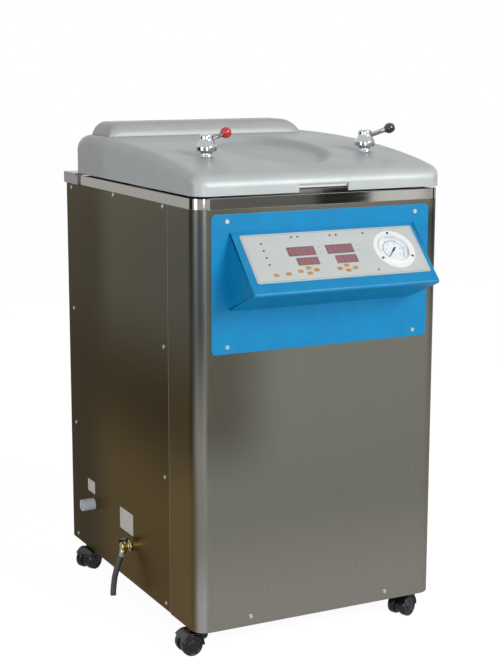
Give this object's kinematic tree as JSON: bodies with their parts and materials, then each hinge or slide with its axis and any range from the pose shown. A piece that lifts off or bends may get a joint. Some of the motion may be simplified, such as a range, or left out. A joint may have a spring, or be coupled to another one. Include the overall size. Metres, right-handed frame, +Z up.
{
  "type": "vertical steam autoclave",
  "caption": "Free-standing vertical steam steriliser: brushed steel cabinet on casters, hinged grey lid with two lever valves, sloping blue console with gauge.",
  "frame": {"origin": "centre of the footprint of the whole object, without the drain hose, on the floor under the casters", "axes": "+Z up, -Y towards the front with the console, +X to the right as seen from the front"},
  "size_m": [0.5687, 0.76, 0.9778],
  "materials": {
    "stainless": "brushed",
    "polished": "polished",
    "grey_paint": "satin",
    "cover_grey": "satin",
    "blue_paint": "satin",
    "black_plastic": "matte",
    "frame_steel": "matte",
    "insulation": "woven",
    "label": "satin",
    "window_red": "gloss",
    "key_tan": "satin",
    "board_green": "satin",
    "brass": "machined",
    "silicone": "matte",
    "white_enamel": "satin",
    "glass": "clear",
    "pvc": "satin",
    "hose": "matte",
    "red_ball": "gloss",
    "black_gloss": "gloss",
    "dark_steel": "machined",
    "tank_plastic": "satin",
    "copper": "drawn",
    "handle_blue": "satin",
    "liner_white": "satin",
    "electrics": "satin"
  },
  "bodies": {
    "cabinet": {"frame": "frame_steel", "front_panel": "stainless", "left_panel": "stainless", "right_panel": "stainless", "rear_panel": "stainless", "top_deck": "polished", "hinge_housing": "grey_paint", "panel_screws": "polished", "chamber": "stainless", "insulation_jacket": "insulation", "heating_tubes": "dark_steel", "basket_stand": "dark_steel", "basket": "stainless", "level_probes": "brass", "torsion_bar": "dark_steel", "hinge_brackets": "dark_steel", "console_housing": "blue_paint", "face_label": "label", "display_windows": "window_red", "control_board": "board_green", "gauge_case": "white_enamel", "gauge_dial": "white_enamel", "gauge_glass": "glass", "condensate_tank": "tank_plastic", "exhaust_outlet": "pvc", "steam_line": "copper", "drain_valve": "brass", "drain_hose": "hose", "power_supply": "electrics"},
    "lid": {"lid_cover": "cover_grey", "lid_liner": "liner_white", "lid_arms": "dark_steel", "pressure_door": "stainless", "door_gasket": "silicone", "lid_grip": "polished", "exhaust_valve": "polished", "safety_valve": "polished"},
    "lock_ring": {"lock_ring": "dark_steel"},
    "exhaust_lever": {"exhaust_lever": "red_ball"},
    "safety_lever": {"safety_lever": "black_gloss"},
    "drain_handle": {"drain_handle": "handle_blue"},
    "gauge_needle": {"gauge_needle": "black_gloss"},
    "caster_1": {"caster_hood_1": "black_plastic"},
    "wheels_1": {"caster_wheels_1": "black_plastic"},
    "caster_2": {"caster_hood_2": "black_plastic"},
    "wheels_2": {"caster_wheels_2": "black_plastic"},
    "caster_3": {"caster_hood_3": "black_plastic"},
    "wheels_3": {"caster_wheels_3": "black_plastic"},
    "caster_4": {"caster_hood_4": "black_plastic"},
    "wheels_4": {"caster_wheels_4": "black_plastic"},
    "key_1": {"key_1": "key_tan"},
    "key_2": {"key_2": "key_tan"},
    "key_3": {"key_3": "key_tan"},
    "key_4": {"key_4": "key_tan"},
    "key_5": {"key_5": "key_tan"},
    "key_6": {"key_6": "key_tan"},
    "key_7": {"key_7": "key_tan"},
    "key_8": {"key_8": "key_tan"},
    "key_9": {"key_9": "key_tan"},
    "key_10": {"key_10": "key_tan"}
  },
  "joints": [
    {"name": "lid_hinge", "type": "hinge", "parent": "cabinet", "child": "lid", "pos_m": [0.0158, 0.328, 0.8815], "axis": [-1, 0, 0], "range_deg": [0, 80]},
    {"name": "lock_ring_turn", "type": "hinge", "parent": "cabinet", "child": "lock_ring", "pos_m": [0.0158, 0.005, 0.8615], "axis": [0, 0, 1], "range_deg": [0, 18]},
    {"name": "exhaust_lever_lift", "type": "hinge", "parent": "lid", "child": "exhaust_lever", "pos_m": [-0.1482, -0.141, 0.95291], "axis": [0, -1, 0], "range_deg": [0, 60]},
    {"name": "safety_lever_lift", "type": "hinge", "parent": "lid", "child": "safety_lever", "pos_m": [0.1938, -0.141, 0.95291], "axis": [0, -1, 0], "range_deg": [0, 25], "stiffness_Nm_per_rad": 0.05},
    {"name": "drain_handle_turn", "type": "hinge", "parent": "cabinet", "child": "drain_handle", "pos_m": [-0.2562, 0.038, 0.14], "axis": [0, 0, 1], "range_deg": [0, 90]},
    {"name": "gauge_needle_turn", "type": "hinge", "parent": "cabinet", "child": "gauge_needle", "pos_m": [0.1408, -0.32514, 0.75372], "axis": [0, 0.7089, -0.7053], "range_deg": [0, 270], "stiffness_Nm_per_rad": 0.001},
    {"name": "caster_swivel_1", "type": "hinge", "parent": "cabinet", "child": "caster_1", "pos_m": [-0.2162, -0.238, 0.05], "axis": [0, 0, 1], "continuous": true},
    {"name": "caster_roll_1", "type": "hinge", "parent": "caster_1", "child": "wheels_1", "pos_m": [-0.2422, -0.238, 0.021], "axis": [0, -1, 0], "continuous": true},
    {"name": "caster_swivel_2", "type": "hinge", "parent": "cabinet", "child": "caster_2", "pos_m": [0.2478, -0.238, 0.05], "axis": [0, 0, 1], "continuous": true},
    {"name": "caster_roll_2", "type": "hinge", "parent": "caster_2", "child": "wheels_2", "pos_m": [0.22424, -0.24899, 0.021], "axis": [0.4226, -0.9063, 0], "continuous": true},
    {"name": "caster_swivel_3", "type": "hinge", "parent": "cabinet", "child": "caster_3", "pos_m": [-0.2162, 0.305, 0.05], "axis": [0, 0, 1], "continuous": true},
    {"name": "caster_roll_3", "type": "hinge", "parent": "caster_3", "child": "wheels_3", "pos_m": [-0.23872, 0.292, 0.021], "axis": [0.5, -0.866, 0], "continuous": true},
    {"name": "caster_swivel_4", "type": "hinge", "parent": "cabinet", "child": "caster_4", "pos_m": [0.2478, 0.305, 0.05], "axis": [0, 0, 1], "continuous": true},
    {"name": "caster_roll_4", "type": "hinge", "parent": "caster_4", "child": "wheels_4", "pos_m": [0.2265, 0.29009, 0.021], "axis": [0.5736, -0.8192, 0], "continuous": true},
    {"name": "key_press_1", "type": "slide", "parent": "cabinet", "child": "key_1", "axis": [0, 0.7089, -0.7053], "range_m": [0, 0.0005], "stiffness_N_per_m": 600},
    {"name": "key_press_2", "type": "slide", "parent": "cabinet", "child": "key_2", "axis": [0, 0.7089, -0.7053], "range_m": [0, 0.0005], "stiffness_N_per_m": 600},
    {"name": "key_press_3", "type": "slide", "parent": "cabinet", "child": "key_3", "axis": [0, 0.7089, -0.7053], "range_m": [0, 0.0005], "stiffness_N_per_m": 600},
    {"name": "key_press_4", "type": "slide", "parent": "cabinet", "child": "key_4", "axis": [0, 0.7089, -0.7053], "range_m": [0, 0.0005], "stiffness_N_per_m": 600},
    {"name": "key_press_5", "type": "slide", "parent": "cabinet", "child": "key_5", "axis": [0, 0.7089, -0.7053], "range_m": [0, 0.0005], "stiffness_N_per_m": 600},
    {"name": "key_press_6", "type": "slide", "parent": "cabinet", "child": "key_6", "axis": [0, 0.7089, -0.7053], "range_m": [0, 0.0005], "stiffness_N_per_m": 600},
    {"name": "key_press_7", "type": "slide", "parent": "cabinet", "child": "key_7", "axis": [0, 0.7089, -0.7053], "range_m": [0, 0.0005], "stiffness_N_per_m": 600},
    {"name": "key_press_8", "type": "slide", "parent": "cabinet", "child": "key_8", "axis": [0, 0.7089, -0.7053], "range_m": [0, 0.0005], "stiffness_N_per_m": 600},
    {"name": "key_press_9", "type": "slide", "parent": "cabinet", "child": "key_9", "axis": [0, 0.7089, -0.7053], "range_m": [0, 0.0005], "stiffness_N_per_m": 600},
    {"name": "key_press_10", "type": "slide", "parent": "cabinet", "child": "key_10", "axis": [0, 0.7089, -0.7053], "range_m": [0, 0.0005], "stiffness_N_per_m": 600}
  ]
}
